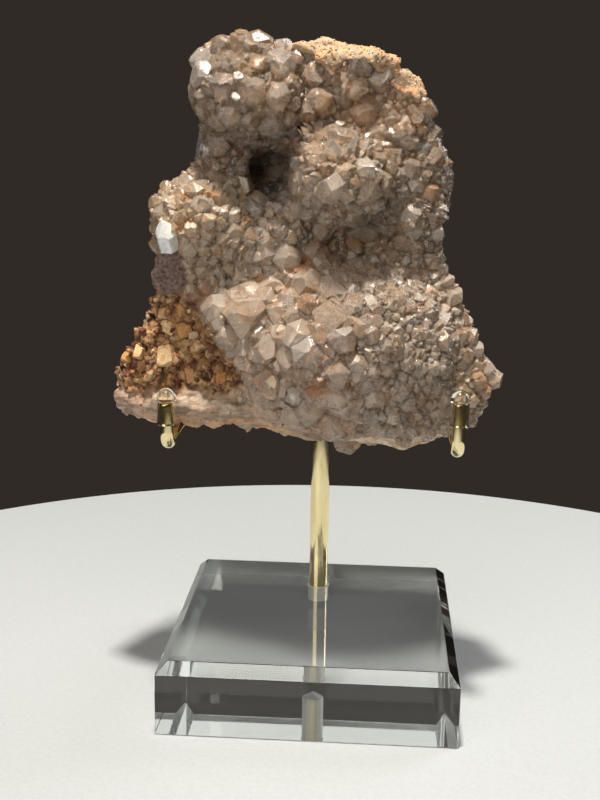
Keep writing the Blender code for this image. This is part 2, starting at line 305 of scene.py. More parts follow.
def depth_in_outline(outline, places):
    """How far inside a closed outline places are. It is negative outside."""
    corners = np.array(outline, float)
    x, y = places[:, 0], places[:, 1]
    inside = np.zeros(len(places), bool)
    nearest = np.full(len(places), 1e9)
    for (x0, y0), (x1, y1) in zip(corners, np.roll(corners, -1, axis=0)):
        crosses = ((y0 > y) != (y1 > y)) & (x < (x1 - x0) * (y - y0) / (y1 - y0 + 1e-12) + x0)
        inside ^= crosses
        length = (x1 - x0) ** 2 + (y1 - y0) ** 2
        t = np.clip(((x - x0) * (x1 - x0) + (y - y0) * (y1 - y0)) / length, 0.0, 1.0)
        nearest = np.minimum(nearest, np.hypot(x - x0 - t * (x1 - x0), y - y0 - t * (y1 - y0)))
    return np.where(inside, nearest, -nearest)


def region_values(places):
    """Crystal width (metres), reach, tint and stain at places in the photograph, blended between regions."""
    rows = list(REGIONS.values())
    centres = np.array([row[0] for row in rows], float)
    radii = np.array([row[1] for row in rows], float)
    away = (places[:, None, :] - centres[None]) / radii[None]
    weight = np.exp(-2.2 * (away ** 2).sum(axis=2)) + 1e-9
    weight /= weight.sum(axis=1, keepdims=True)
    width = weight @ np.array([row[2] for row in rows]) * MM
    reach = weight @ np.array([row[3] for row in rows])
    tint = weight @ np.array([TINTS[row[4]] for row in rows])
    stain = weight @ np.array([row[5] for row in rows])
    return width, reach, tint, stain


def fractal(points, wave, levels=3, shift=0.0):
    offset = Vector((shift, shift * 1.7, shift * 0.6))
    return np.array([noise.fractal(Vector(p) / wave + offset, 0.8, 2.1, levels) for p in points])


def blocks(points, wave, shift=0.0):
    """Broken lumps: a height for each lump, and 0 to 1 for how near the crack between two lumps is."""
    heights = np.empty(len(points))
    cracks = np.empty(len(points))
    offset = Vector((shift, shift, shift))
    for i, point in enumerate(points):
        distances, sites = noise.voronoi(Vector(point) / wave + offset)
        heights[i] = noise.cell(sites[0] * 7.31)
        cracks[i] = max(0.0, 1.0 - (distances[1] - distances[0]) / 0.18)
    return heights, cracks


# ---------------------------------------------------------------- the holder's room


def clear_of_holder(points, room=0.12 * MM):
    """Pushes points out of the arms, their caps and the post."""
    points = points.copy()
    uprights = [(0.0, POST_Y, POST_RADIUS, 0.0, POST_TOP)]
    for arm in ARMS.values():
        uprights.append((arm["x"], FINGER_Y, SLEEVE_RADIUS, ARM_HEIGHT - ROD_RADIUS, arm["sleeve"][1]))
    for x, y, radius, low, high in uprights:
        dx, dy = points[:, 0] - x, points[:, 1] - y
        away = np.hypot(dx, dy)
        inside = (away < radius + room) & (points[:, 2] > low - room) & (points[:, 2] < high + room)
        scale = (radius + room) / np.maximum(away[inside], 1e-6)
        points[inside, 0] = x + dx[inside] * scale
        points[inside, 1] = y + dy[inside] * scale
    for arm in ARMS.values():
        dx, dz = points[:, 0] - arm["x"], points[:, 2] - ARM_HEIGHT
        away = np.hypot(dx, dz)
        along = (points[:, 1] > FINGER_Y) & (points[:, 1] < POST_Y)
        inside = (away < ROD_RADIUS + room) & along
        scale = (ROD_RADIUS + room) / np.maximum(away[inside], 1e-6)
        points[inside, 0] = arm["x"] + dx[inside] * scale
        points[inside, 2] = ARM_HEIGHT + dz[inside] * scale
    return points


def touches_holder(points):
    return bool(np.abs(clear_of_holder(points, 0.05 * MM) - points).max() > 0)


# ---------------------------------------------------------------- rock


ROCK_VOXEL = 0.85 * MM
CREASE_SMOOTHING = 420


def make_rock():
    """The matrix: the stone's solid, sunk where crystals grow on it and broken where it is bare."""
    rock = link_data("stone_matrix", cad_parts["specimen"].data.copy())
    rock.data.materials.clear()
    voxels = rock.modifiers.new("skin", "REMESH")
    voxels.mode = "VOXEL"
    voxels.voxel_size = ROCK_VOXEL
    smooth = rock.modifiers.new("round", "SMOOTH")
    smooth.factor = 0.5
    smooth.iterations = 10
    replace_mesh(rock, evaluated_mesh(rock))
    mesh = rock.data
    points = mesh_points(mesh)
    normals = mesh_normals(mesh)
    places = photo_place(points)
    soften = rock.modifiers.new("soften", "SMOOTH")
    soften.factor = 0.5
    soften.iterations = CREASE_SMOOTHING
    softened = mesh_points(evaluated_mesh(rock))
    rock.modifiers.clear()
    deep = np.max([inside_outline(outline, places, 14.0) for outline in DEEP_PLACES], axis=0)
    fill = np.maximum(((softened - points) * normals).sum(axis=1), 0.0) * (1.0 - deep)
    points = points + normals * (smooth_step(0.35, 0.0, normals[:, 1]) * fill)[:, None]
    set_points(mesh, points)
    normals = mesh_normals(mesh)
    front = smooth_step(0.45, 0.10, normals[:, 1])
    wobble = 5.0 * fractal(points, 6.0 * MM)[:, None]
    raw = inside_outline(RAW_ROCK, places + wobble, 8.0) * front
    band = inside_outline(BAND, places + wobble, 8.0) * front
    rim = inside_outline(RIM, places + wobble, 7.0) * front
    lump = inside_outline(LUMP, places + wobble, 7.0) * front * (1.0 - raw)
    under = smooth_step(-0.72, -0.92, normals[:, 2]) * smooth_step(0.12, 0.10, points[:, 2])
    under *= smooth_step(-0.002, -0.010, points[:, 0])
    under = np.maximum(under, front * inside_outline(LOWER_EDGE, places + 0.6 * wobble, 3.0))
    bare = np.clip(raw + band + rim + under + lump, 0.0, 1.0)
    druse = front * (1.0 - bare)
    width, reach, tint, stain = region_values(places)
    sink = smooth_step(0.0, 0.35, druse) * width * (1.15 * reach - 0.12) * (1.0 - underside(points, normals))
    lumps, cracks = blocks(points, 3.4 * MM)
    grains, seams = blocks(points, 1.5 * MM, 3.0)
    slabs, breaks = blocks(points, 13.0 * MM, 5.0)
    rough = fractal(points, 4.0 * MM, 4)
    fine = fractal(points, 1.4 * MM, 3, 9.0)
    back = (1.0 - front) * (1.0 - under)
    height = raw * (1.6 * lumps - 1.3 * cracks + 0.7 * grains + 0.25 * fine - 1.0)
    height += rim * (0.4 * lumps + 0.25 * grains - 0.3 * seams + 0.2 * fine)
    height += 1.6 * front * inside_outline(RIM_NOTCH, places, 10.0)
    height += 3.6 * front * inside_outline(RECESS, places, 26.0)
    height -= 4.0 * front * inside_outline(CAVE, places, 18.0)
    height += band * (0.8 * rough + 0.3 * grains - 0.25 * seams + 0.2 * fine)
    height += lump * (0.6 * rough + 0.4 * grains - 0.4 * seams)
    height += back * (1.2 * slabs - 0.8 * breaks + 0.9 * rough + 0.35 * grains - 0.3 * seams)
    height += under * (0.5 * rough + 0.3 * grains - 0.2)
    height += druse * (0.8 * rough + 1.5 * fractal(points, 13.0 * MM, 2, 17.0))
    points = points + normals * (height * MM - sink)[:, None]
    points = clear_of_holder(points)
    set_points(mesh, points)
    mesh.shade_smooth()
    add_number(mesh, "raw", raw)
    add_number(mesh, "band", band)
    add_number(mesh, "rim", rim)
    add_number(mesh, "druse", druse)
    add_number(mesh, "under", under)
    add_number(mesh, "dark_lump", lump)
    add_number(mesh, "lump", lumps)
    add_number(mesh, "crack", np.maximum(cracks * raw, seams * 0.6))
    mesh.materials.append(rock_material())
    attach(rock, "specimen")
    return rock, druse, raw, rim, band


def underside(points, normals):
    """1 on the stone's lowest, downward-facing ground, where no crystals grow."""
    return smooth_step(-0.45, -0.75, normals[:, 2]) * smooth_step(0.105, 0.095, points[:, 2])


def attach(piece, node=None):
    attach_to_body(piece, "root")
    if node is not None:
        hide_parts(node)


# ---------------------------------------------------------------- crystals


PX_PER_MM = 3.34
SEE_THROUGH = {"top": 0.72, "middle_left": 0.66, "middle_right": 0.68, "low_left": 0.65, "low_right": 0.66}
WARMTH = np.array((0.03, 0.0, -0.05))
BODY_WARMTH = np.array((1.01, 0.95, 0.87))
PYRAMID_TILT = math.radians(51.8)
ROOT_DEPTH = 0.55


def corner_points(planes):
    """Corners of the convex solid inside planes (normal, distance)."""
    normals = np.array([p[0] for p in planes])
    distances = np.array([p[1] for p in planes])
    count = len(planes)
    corners = []
    for i in range(count):
        for j in range(i + 1, count):
            for k in range(j + 1, count):
                three = normals[[i, j, k]]
                if abs(np.linalg.det(three)) < 1e-4:
                    continue
                point = np.linalg.solve(three, distances[[i, j, k]])
                if (normals @ point <= distances + 1e-6).all():
                    corners.append(point)
    return corners


def crystal_planes(rng, reach, blunt=0.0):
    """A six-sided prism of width 1 closed by six pyramid faces, all a little uneven. Its root is below z = 0.

    A blunt one has its point worn down by flatter faces.
    """
    planes = [((0.0, 0.0, -1.0), ROOT_DEPTH)]
    if blunt:
        for i in range(4):
            turn = math.radians(90 * i) + rng.uniform(-0.5, 0.5)
            tilt = math.radians(rng.uniform(12.0, 30.0))
            normal = (math.sin(tilt) * math.cos(turn), math.sin(tilt) * math.sin(turn), math.cos(tilt))
            planes.append((normal, reach * (1.0 - blunt * rng.uniform(0.4, 1.0)) * math.cos(tilt)))
    for i in range(6):
        turn = math.radians(60 * i)
        sides = 0.5 * rng.uniform(0.86, 1.10)
        planes.append(((math.cos(turn), math.sin(turn), 0.0), sides))
        tilt = PYRAMID_TILT + math.radians(rng.uniform(-2.0, 2.0))
        height = reach * (rng.uniform(0.96, 1.02) if i % 2 == 0 else rng.uniform(1.03, 1.30))
        normal = (math.sin(tilt) * math.cos(turn), math.sin(tilt) * math.sin(turn), math.cos(tilt))
        planes.append((normal, height * math.cos(tilt)))
    return planes


def crystal_template(rng, reach, bevel, segments, blunt=0.0):
    """(points, triangles) of one crystal of width 1, with worn edges."""
    bm = bmesh.new()
    for corner in corner_points(crystal_planes(rng, reach, blunt)):
        bm.verts.new(corner)
    bmesh.ops.remove_doubles(bm, verts=bm.verts, dist=0.01)
    hull = bmesh.ops.convex_hull(bm, input=bm.verts)
    loose = [g for g in hull["geom_interior"] if isinstance(g, bmesh.types.BMVert)]
    bmesh.ops.delete(bm, geom=loose, context="VERTS")
    bmesh.ops.dissolve_limit(bm, angle_limit=math.radians(1.0), verts=bm.verts, edges=bm.edges)
    if bevel:
        bmesh.ops.bevel(
            bm, geom=list(bm.edges), offset=bevel, segments=segments, profile=0.6, affect="EDGES",
            clamp_overlap=True,
        )
    bmesh.ops.triangulate(bm, faces=bm.faces)
    bmesh.ops.recalc_face_normals(bm, faces=bm.faces)
    points = np.array([v.co[:] for v in bm.verts])
    bm.verts.index_update()
    triangles = np.array([[v.index for v in f.verts] for f in bm.faces])
    bm.free()
    return points, triangles


def make_templates(rng):
    reaches = np.linspace(0.50, 1.00, 6)
    worn = [crystal_template(rng, r, 0.085, 2, 0.30) for r in reaches for _ in range(3)]
    soft = [crystal_template(rng, r, 0.045, 1, 0.10) for r in reaches for _ in range(4)]
    crisp = [crystal_template(rng, r, 0.018, 1) for r in reaches for _ in range(4)]
    small = [crystal_template(rng, r, 0.0, 0) for r in reaches for _ in range(3)]
    return {"worn": worn, "soft": soft, "crisp": crisp, "small": small}


class Heap:
    """Crystals gathered for one piece."""

    def __init__(self):
        self.points = []
        self.triangles = []
        self.local = []
        self.seed = []
        self.tip = []
        self.tint = []
        self.stain = []
        self.count = 0

    def add(self, points, triangles, local, seed, tip, tint, stain):
        self.points.append(points)
        self.triangles.append(triangles + self.count)
        self.local.append(local)
        self.seed.append(np.full(len(points), seed))
        self.tip.append(tip)
        self.tint.append(np.repeat([tint], len(points), axis=0))
        self.stain.append(np.full(len(points), stain))
        self.count += len(points)

    def build(self, name, material):
        mesh = bpy.data.meshes.new(name)
        points = np.concatenate(self.points)
        triangles = np.concatenate(self.triangles)
        mesh.vertices.add(len(points))
        mesh.vertices.foreach_set("co", points.astype(np.float32).ravel())
        mesh.loops.add(triangles.size)
        mesh.loops.foreach_set("vertex_index", triangles.astype(np.int32).ravel())
        mesh.polygons.add(len(triangles))
        mesh.polygons.foreach_set("loop_start", np.arange(0, triangles.size, 3, dtype=np.int32))
        mesh.update(calc_edges=True)
        mesh.validate()
        add_vector(mesh, "local", np.concatenate(self.local))
        add_number(mesh, "seed", np.concatenate(self.seed))
        add_number(mesh, "tip", np.concatenate(self.tip))
        add_colour(mesh, "tint", np.concatenate(self.tint))
        add_number(mesh, "stain", np.concatenate(self.stain))
        mesh.shade_smooth()
        mesh.materials.append(material)
        piece = link_data(name, mesh)
        flatten_faces(piece)
        attach(piece, "specimen")
        return piece


def flatten_faces(piece):
    """Keeps big faces flat and turns the light only round the worn edges between them."""
    weighted = piece.modifiers.new("flat_faces", "WEIGHTED_NORMAL")
    weighted.mode = "FACE_AREA"
    weighted.weight = 100
    replace_mesh(piece, evaluated_mesh(piece))


def upright_frame(axis, spin):
    """Columns: two sideways directions turned by spin, then the crystal's axis."""
    axis = np.asarray(axis) / np.linalg.norm(axis)
    helper = np.array((0.0, 0.0, 1.0)) if abs(axis[2]) < 0.9 else np.array((1.0, 0.0, 0.0))
    side = np.cross(helper, axis)
    side /= np.linalg.norm(side)
    other = np.cross(axis, side)
    turned = math.cos(spin) * side + math.sin(spin) * other
    return np.stack((turned, np.cross(axis, turned), axis), axis=1)


def place_crystal(rng, templates, place, axis, width, reach, spin=None):
    """World points, triangles, coordinates about its own axis in mm, seed and 0 to 1 height of one crystal."""
    kind = templates[rng.integers(len(templates))]
    unit, triangles = kind
    top = unit[:, 2].max()
    stretch = np.ones(3)
    stretch[0] = rng.uniform(0.85, 1.12)
    stretch[2] = 1.0
    shape = unit * stretch
    shape[:, 2] = np.where(shape[:, 2] > 0, shape[:, 2] * reach / top, shape[:, 2])
    turn = upright_frame(axis, rng.uniform(0, 2 * math.pi) if spin is None else spin)
    world = np.asarray(place) + (shape * width) @ turn.T
    tip = np.clip((shape[:, 2] + ROOT_DEPTH) / (reach + ROOT_DEPTH), 0, 1)
    return world, triangles, shape * width / MM, rng.uniform(0, 90), tip


def add_side_crystal(rng, templates, place, axis, spin, width, reach):
    """A smaller crystal grown parallel to its parent, on the parent's side."""
    turn = upright_frame(axis, spin)
    around = rng.uniform(0, 2 * math.pi)
    out = rng.uniform(0.20, 0.38) * width
    start = np.asarray(place) + out * (math.cos(around) * turn[:, 0] + math.sin(around) * turn[:, 1])
    lean = turn[:, 2] + 0.08 * rng.normal(size=3)
    small = rng.uniform(0.38, 0.62)
    tall = max(0.35, (reach * rng.uniform(0.62, 0.92))) / small
    return place_crystal(rng, templates, start, lean, width * small, min(tall, 1.15), spin)


def sample_surface(rng, mesh, weight, count):
    """Random points on a mesh, denser where weight is higher, with the smooth normal there."""
    points = mesh_points(mesh)
    normals = mesh_normals(mesh)
    mesh.calc_loop_triangles()
    triangles = np.empty(len(mesh.loop_triangles) * 3, np.int32)
    mesh.loop_triangles.foreach_get("vertices", triangles)
    triangles = triangles.reshape(-1, 3)
    corners = points[triangles]
    area = np.linalg.norm(np.cross(corners[:, 1] - corners[:, 0], corners[:, 2] - corners[:, 0]), axis=1)
    chance = area * weight[triangles].min(axis=1)
    chosen = rng.choice(len(triangles), count, p=chance / chance.sum())
    a, b = rng.random((2, count))
    flip = a + b > 1
    a[flip], b[flip] = 1 - a[flip], 1 - b[flip]
    mix = np.stack((1 - a - b, a, b), axis=1)[:, :, None]
    places = (corners[chosen] * mix).sum(axis=1)
    facing = (normals[triangles[chosen]] * mix).sum(axis=1)
    return places, facing / np.linalg.norm(facing, axis=1, keepdims=True)


class Spacing:
    """Remembers where crystals stand, so that the next ones keep their distance."""

    CELL = 7.0 * MM

    def __init__(self):
        self.cells = {}

    def key(self, place):
        return tuple(int(math.floor(c / self.CELL)) for c in place)

    def free(self, place, width, closeness):
        i, j, k = self.key(place)
        for a in (i - 1, i, i + 1):
            for b in (j - 1, j, j + 1):
                for c in (k - 1, k, k + 1):
                    for x, y, z, other in self.cells.get((a, b, c), ()):
                        limit = closeness * 0.5 * (width + other)
                        gap = (x - place[0]) ** 2 + (y - place[1]) ** 2 + (z - place[2]) ** 2
                        if gap < limit * limit:
                            return False
        return True

    def take(self, place, width):
        self.cells.setdefault(self.key(place), []).append((*place, width))


# Crystals that stand out in the photograph: pixel, width in mm, reach, tilt right and up, kind
NOTABLE = (
    ((279, 62), 9.0, 0.50, 0.0, 0.0, "milky"),
    ((284, 42), 5.0, 0.60, 0.1, 0.5, "milky"),
    ((199, 58), 6.6, 0.55, -0.3, 0.1, "milky"),
    ((200, 74), 7.8, 0.55, -0.3, -0.1, "milky"),
    ((199, 96), 6.6, 0.55, -0.3, 0.0, "smoky"),
    ((221, 42), 7.6, 0.55, -0.1, 0.2, "beige"),
    ((249, 45), 9.2, 0.60, 0.0, 0.2, "beige"),
    ((238, 64), 6.4, 0.50, 0.0, 0.0, "beige"),
    ((222, 86), 9.0, 0.55, 0.0, -0.1, "lilac"),
    ((252, 89), 8.6, 0.50, 0.0, 0.0, "beige"),
    ((280, 101), 7.6, 0.55, 0.2, -0.6, "beige"),
    ((248, 121), 7.4, 0.55, -0.1, -0.3, "smoky"),
    ((272, 128), 7.6, 0.60, 0.0, -0.4, "smoky"),
    ((290, 118), 7.6, 0.60, 0.1, -0.3, "beige"),
    ((202, 149), 6.0, 0.60, -0.3, 0.1, "clear"),
    ((310, 60), 5.0, 0.60, 0.0, -0.3, "smoky"),
    ((359, 68), 6.6, 0.50, 0.0, -0.4, "smoky"),
    ((379, 83), 10.2, 0.50, 0.0, -0.3, "pale"),
    ((355, 93), 7.0, 0.55, -0.1, -0.2, "lilac"),
    ((379, 108), 10.2, 0.55, 0.0, -0.4, "lilac"),
    ((407, 122), 6.2, 0.55, 0.1, 0.1, "pale"),
    ((424, 128), 4.8, 0.60, 0.2, 0.1, "rust"),
    ((427, 147), 5.2, 0.55, 0.3, 0.3, "clear"),
    ((414, 166), 7.2, 0.50, 0.1, 0.0, "smoky"),
    ((432, 190), 7.4, 0.50, 0.2, 0.0, "rust"),
    ((331, 143), 7.0, 0.80, -0.1, 0.7, "pale"),
    ((357, 137), 4.8, 0.80, 0.1, 0.8, "pale"),
    ((371, 168), 7.6, 0.85, 0.5, 0.0, "pale"),
    ((332, 190), 8.6, 0.60, -0.1, -0.3, "pale"),
    ((294, 160), 5.6, 0.95, -0.8, 0.3, "smoky"),
    ((308, 214), 9.4, 0.60, -0.3, -0.5, "smoky"),
    ((352, 221), 8.6, 0.55, 0.0, -0.5, "smoky"),
    ((227, 187), 6.4, 0.95, 0.2, 0.9, "pale"),
    ((200, 200), 6.0, 0.60, 0.0, 0.3, "pale"),
    ((254, 208), 6.2, 0.60, 0.1, 0.2, "clear"),
    ((280, 207), 5.0, 0.60, 0.2, 0.2, "milky"),
    ((166, 233), 5.8, 1.10, 0.0, 0.0, "white"),
    ((289, 256), 9.6, 0.45, 0.2, 0.2, "pale"),
    ((325, 264), 8.4, 1.00, -0.1, 0.8, "pale"),
    ((361, 265), 7.6, 1.05, 0.25, 0.9, "milky"),
    ((237, 283), 5.4, 1.05, 0.5, 0.7, "milky"),
    ((195, 288), 6.2, 0.90, -0.2, 0.7, "rust"),
    ((218, 284), 6.0, 0.90, 0.0, 0.7, "rust"),
    ((214, 306), 8.8, 0.50, -0.1, 0.2, "pale"),
    ((223, 336), 8.0, 0.55, -0.1, 0.0, "pale"),
    ((243, 352), 10.4, 0.75, 0.0, -0.5, "milky"),
    ((298, 335), 9.0, 0.50, 0.0, 0.1, "pale"),
    ((345, 338), 8.4, 0.50, 0.1, 0.1, "lilac"),
    ((310, 352), 9.0, 0.50, 0.0, 0.0, "lilac"),
    ((307, 303), 5.6, 0.50, 0.0, 0.2, "rust"),
    ((319, 381), 6.0, 0.50, 0.0, -0.1, "rust"),
    ((343, 412), 8.4, 0.55, 0.0, -0.3, "pale"),
    ((375, 400), 8.8, 0.55, 0.1, -0.2, "pale"),
    ((296, 399), 5.6, 0.55, 0.0, -0.2, "milky"),
    ((392, 272), 7.4, 0.70, 0.1, 0.5, "smoky"),
    ((422, 278), 6.4, 0.60, 0.2, 0.3, "lilac"),
    ((441, 230), 5.2, 0.60, 0.4, 0.2, "pale"),
    ((452, 279), 6.0, 0.60, 0.5, 0.2, "pale"),
    ((458, 312), 7.0, 0.60, 0.5, 0.1, "pale"),
    ((464, 335), 5.8, 0.55, 0.4, 0.1, "rust"),
    ((481, 349), 5.4, 0.60, 0.5, 0.2, "pale"),
    ((492, 368), 6.0, 0.60, 0.6, 0.0, "pale"),
    ((488, 392), 6.0, 0.60, 0.5, -0.2, "rust"),
)
NOTABLE_LIFT = 0.20
NOTABLE_ROOM = 1.15
PROUD_LIMIT = 1.0 * MM
SHOULDER_LIMIT = 1.5 * MM
EDGE_ON = 0.72
NOTABLE_TINTS = {
    "milky": (0.93, 0.90, 0.87),
    "pale": (0.82, 0.73, 0.64),
    "beige": (0.59, 0.47, 0.34),
    "lilac": (0.52, 0.42, 0.375),
    "smoky": (0.42, 0.325, 0.25),
    "rust": (0.60, 0.30, 0.10),
}


def height_over(tree, point):
    """How far a point stands out of a solid. It is 0 inside."""
    nearest, normal, _, distance = tree.find_nearest(point)
    return distance if (point - nearest).dot(normal) > 0 else 0.0


def sunk_to_fit(crystal, axis, tree, room):
    """The crystal, pushed down its axis where its tip stands more than room out of the stone's solid."""
    points = crystal[0]
    axis = np.asarray(axis) / np.linalg.norm(axis)
    tip = Vector(points[np.argmax(points @ axis)])
    return (points - max(0.0, height_over(tree, tip) - room) * axis, *crystal[1:])


def too_proud(crystal, tree):
    return any(height_over(tree, Vector(p)) > SHOULDER_LIMIT for p in crystal[0])


def surface_tree(mesh):
    return BVHTree.FromPolygons([tuple(p) for p in mesh_points(mesh)], [tuple(p.vertices) for p in mesh.polygons])


def grow_crystals(rock, druse):
    rng = np.random.default_rng(SEED)
    templates = make_templates(rng)
    spacing = Spacing()
    heaps = {}
    clear = Heap()
    white = Heap()
    right, up, forward = (np.array(a) for a in camera_axes())
    tree = surface_tree(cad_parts["specimen"].data)
    for (px, py), width_mm, reach, tilt_right, tilt_up, kind in NOTABLE:
        hit, normal, _, _ = tree.ray_cast(CAMERA_AT, photo_ray(px, py))
        if hit is None:
            continue
        width = width_mm * MM
        axis = np.array(normal) * 0.3 - forward * 0.7 + tilt_right * right + tilt_up * up
        axis /= np.linalg.norm(axis)
        round_one = kind in ("clear", "beige", "smoky") or (kind == "milky" and reach < 0.6)
        shapes = templates["worn" if round_one else "crisp"]
        if kind == "white":
            axis = 0.74 * up - 0.66 * forward - 0.12 * right
        foot = np.array(hit) - (reach - NOTABLE_LIFT) * width * axis
        if kind == "white":
            foot = np.array(hit) - 0.35 * width * axis
        crystal = place_crystal(rng, shapes, foot, axis, width, reach)
        spacing.take(tuple(foot), NOTABLE_ROOM * width)
        if touches_holder(crystal[0]):
            continue
        if kind == "white":
            white.add(*crystal, (0.84, 0.85, 0.85), 0.0)
        elif kind == "clear":
            clear.add(*crystal, (0.8, 0.77, 0.72), 0.0)
        else:
            heap_for(heaps, hit).add(*crystal, NOTABLE_TINTS[kind], 0.25)
    for count, scale, closeness, shapes, lift in (
        (12000, 1.12, 0.60, None, 1.0), (16000, 0.64, 0.56, "crisp", 1.35), (14000, 0.38, 0.60, "small", 1.9),
    ):
        places, facing = sample_surface(rng, rock.data, np.clip(druse - 0.25, 0, 1), count)
        pixels = photo_place(places)
        width, reach, tint, stain = region_values(pixels)
        edge = np.max([depth_in_outline(outline, pixels) for outline in (RIM, RAW_ROCK, LUMP, BAND)], axis=0)
        edge = np.where(places[:, 1] > 0.002, -99.0, edge)
        edge[underside(places, facing) > 0.5] = 99.0
        for i in range(count):
            size = width[i] * scale * rng.uniform(0.78, 1.25)
            if edge[i] > -0.38 * size / MM * PX_PER_MM or not spacing.free(places[i], size, closeness):
                continue
            axis = facing[i] + 0.17 * rng.normal(size=3)
            kind = shapes or ("worn" if places[i][2] > 0.165 else "crisp" if places[i][0] > 0.012 else "soft")
            tall = reach[i] * lift * rng.uniform(0.85, 1.12)
            spin = rng.uniform(0, 2 * math.pi)
            crystal = place_crystal(rng, templates[kind], places[i], axis, size, tall, spin)
            edge_on = -facing[i] @ forward < EDGE_ON
            room = PROUD_LIMIT + (0.0 if edge_on else height_over(tree, Vector(places[i])))
            crystal = sunk_to_fit(crystal, axis, tree, room)
            if touches_holder(crystal[0]) or (edge_on and too_proud(crystal, tree)):
                continue
            spacing.take(tuple(places[i]), size)
            shade = np.clip(tint[i] * BODY_WARMTH * rng.uniform(0.80, 1.16) * (1 + rng.normal() * WARMTH), 0, 0.95)
            rust = stain[i] * rng.uniform(0.2, 1.6)
            heap = heap_for(heaps, places[i])
            heap.add(*crystal, shade, rust)
            if scale < 0.5:
                continue
            for side in range(rng.integers(1, 4) if scale > 1.0 else rng.integers(0, 2)):
                young = add_side_crystal(rng, templates["crisp"], places[i], axis, spin, size, tall)
                young = sunk_to_fit(young, axis, tree, room)
                if not (touches_holder(young[0]) or (edge_on and too_proud(young, tree))):
                    heap.add(*young, shade * rng.uniform(0.94, 1.06), rust)
    for name, heap in sorted(heaps.items()):
        heap.build("crystals_" + name, quartz_material(name, SEE_THROUGH[name]))
    clear.build("crystals_clear", clear_quartz_material())
    white.build("crystal_white", white_quartz_material())


def heap_for(heaps, place):
    x, _, z = place
    if z > 0.171:
        name = "top"
    elif z > 0.133:
        name = "middle_right" if x > -0.012 else "middle_left"
    else:
        name = "low_right" if x > 0.004 else "low_left"
    return heaps.setdefault(name, Heap())


# Angular blocks on the broken rock: pixel, size in mm, tilt right and up, tint
BLOCKS = (
    ((164, 313), (6.4, 4.6, 4.0), 0.1, 0.2, "straw"),
    ((168, 329), (5.2, 6.4, 4.0), -0.2, 0.3, "straw"),
    ((165, 353), (8.0, 5.4, 4.4), 0.0, 0.1, "straw"),
    ((184, 311), (5.6, 5.0, 3.6), 0.3, 0.2, "ochre"),
    ((185, 331), (5.4, 5.2, 3.6), 0.2, 0.0, "ochre"),
    ((196, 338), (4.4, 4.8, 3.0), 0.2, 0.0, "chalk"),
    ((138, 352), (4.6, 3.4, 3.0), -0.2, 0.3, "straw"),
    ((146, 338), (3.8, 3.4, 3.0), -0.2, 0.3, "clay"),
    ((142, 365), (4.8, 3.0, 3.0), 0.0, 0.0, "clay"),
    ((127, 358), (4.0, 4.0, 2.6), -0.3, 0.2, "ochre"),
    ((128, 374), (4.6, 3.6, 2.6), -0.2, 0.0, "umber"),
    ((205, 362), (4.6, 4.0, 3.0), 0.2, 0.0, "clay"),
    ((222, 378), (4.6, 3.6, 2.6), 0.2, -0.1, "ochre"),
    ((190, 376), (5.6, 3.2, 2.4), 0.0, 0.0, "clay"),
    ((150, 300), (4.4, 5.4, 2.6), -0.3, 0.1, "umber"),
)
CHUNK_TINTS = {
    "straw": (0.72, 0.53, 0.30),
    "ochre": (0.54, 0.30, 0.11),
    "chalk": (0.62, 0.49, 0.35),
    "clay": (0.38, 0.205, 0.095),
    "umber": (0.19, 0.09, 0.04),
    "wine": (0.15, 0.04, 0.022),
}


def chunk_template(rng):
    """(points, triangles) of one broken block about 1 across, with slightly worn edges."""
    bm = bmesh.new()
    for x in (-0.5, 0.5):
        for y in (-0.5, 0.5):
            for z in (-0.5, 0.5):
                bm.verts.new(np.array((x, y, z)) * rng.uniform(0.45, 1.0, 3))
    for _ in range(7):
        way = rng.normal(size=3)
        bm.verts.new(0.54 * way / np.linalg.norm(way))
    hull = bmesh.ops.convex_hull(bm, input=bm.verts)
    loose = [g for g in hull["geom_interior"] if isinstance(g, bmesh.types.BMVert)]
    bmesh.ops.delete(bm, geom=loose, context="VERTS")
    bmesh.ops.bevel(
        bm, geom=list(bm.edges), offset=0.035, segments=1, profile=0.6, affect="EDGES", clamp_overlap=True,
    )
    bmesh.ops.triangulate(bm, faces=bm.faces)
    bmesh.ops.recalc_face_normals(bm, faces=bm.faces)
    points = np.array([v.co[:] for v in bm.verts])
    bm.verts.index_update()
    triangles = np.array([[v.index for v in f.verts] for f in bm.faces])
    bm.free()
    return points, triangles


